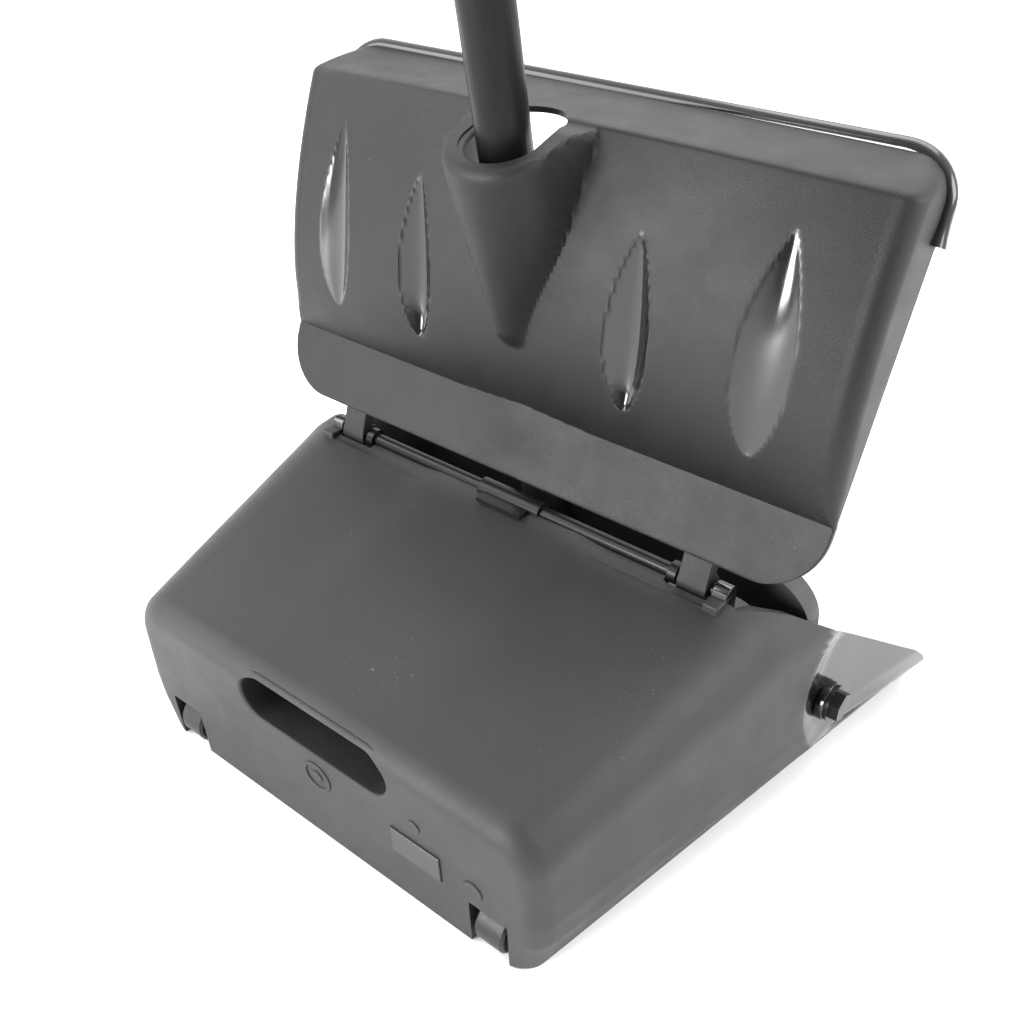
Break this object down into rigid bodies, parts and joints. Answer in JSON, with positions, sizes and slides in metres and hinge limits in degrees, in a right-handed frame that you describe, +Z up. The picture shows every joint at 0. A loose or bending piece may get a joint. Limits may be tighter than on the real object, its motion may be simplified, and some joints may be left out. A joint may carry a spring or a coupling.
{
  "type": "upright covered dustpan",
  "caption": "Upright lobby dustpan: hollow moulded pan on rear rollers, hinged hood lid with a collar for the tube handle, and an arched yoke pivoted between two side wings.",
  "frame": {"origin": "on the floor under the middle of the object's depth, on its plane of symmetry", "axes": "+Z up, +Y from the rear wall towards the mouth, +X to the right seen from behind"},
  "size_m": [0.3421, 0.2914, 0.8579],
  "materials": {
    "skin": "fine moulded texture, matte",
    "lid_skin": "fine moulded texture, matte, with polished dimples and edge bead",
    "gloss_black": "polished moulded plastic",
    "roller": "hard roller plastic",
    "painted_tube": "satin black paint on steel tube",
    "yoke_plastic": "fine moulded texture, matte",
    "black_zinc": "black zinc-plated steel",
    "zinc": "zinc-plated steel",
    "nylon": "natural nylon",
    "joint_plastic": "smooth black plastic",
    "grip": "soft ribbed grip"
  },
  "bodies": {
    "pan": {"pan_body": "skin", "hinge_rod": "gloss_black", "rod_clip": "gloss_black", "rod_collars": "gloss_black", "left_axle": "black_zinc", "right_axle": "black_zinc", "pivot_bolts": "black_zinc", "pivot_bushes": "nylon", "pivot_washers": "zinc", "pivot_nuts": "zinc"},
    "lid": {"lid": "lid_skin"},
    "handle": {"handle_yoke": "yoke_plastic", "yoke_bolt": "zinc", "yoke_nut": "zinc", "lower_tube": "painted_tube", "joint_core": "joint_plastic", "joint_collar": "joint_plastic", "upper_tube": "painted_tube", "grip": "grip", "end_cap": "joint_plastic"},
    "left_roller": {"left_roller": "roller"},
    "right_roller": {"right_roller": "roller"}
  },
  "joints": [
    {"name": "handle_pivot", "type": "hinge", "parent": "pan", "child": "handle", "pos_m": [0, 0.04172, 0.048], "axis": [-1, 0, 0], "range_deg": [0, 84]},
    {"name": "lid_hinge", "type": "hinge", "parent": "pan", "child": "lid", "pos_m": [0, -0.00278, 0.1184], "axis": [-1, 0, 0], "range_deg": [0, 104]},
    {"name": "left_roller_spin", "type": "hinge", "parent": "pan", "child": "left_roller", "pos_m": [-0.095, -0.12428, 0.0125], "axis": [1, 0, 0], "continuous": true},
    {"name": "right_roller_spin", "type": "hinge", "parent": "pan", "child": "right_roller", "pos_m": [0.095, -0.12428, 0.0125], "axis": [1, 0, 0], "continuous": true}
  ],
  "couplings": [
    {"joint": "lid_hinge", "follows": "handle_pivot", "ratio": 1.238}
  ]
}
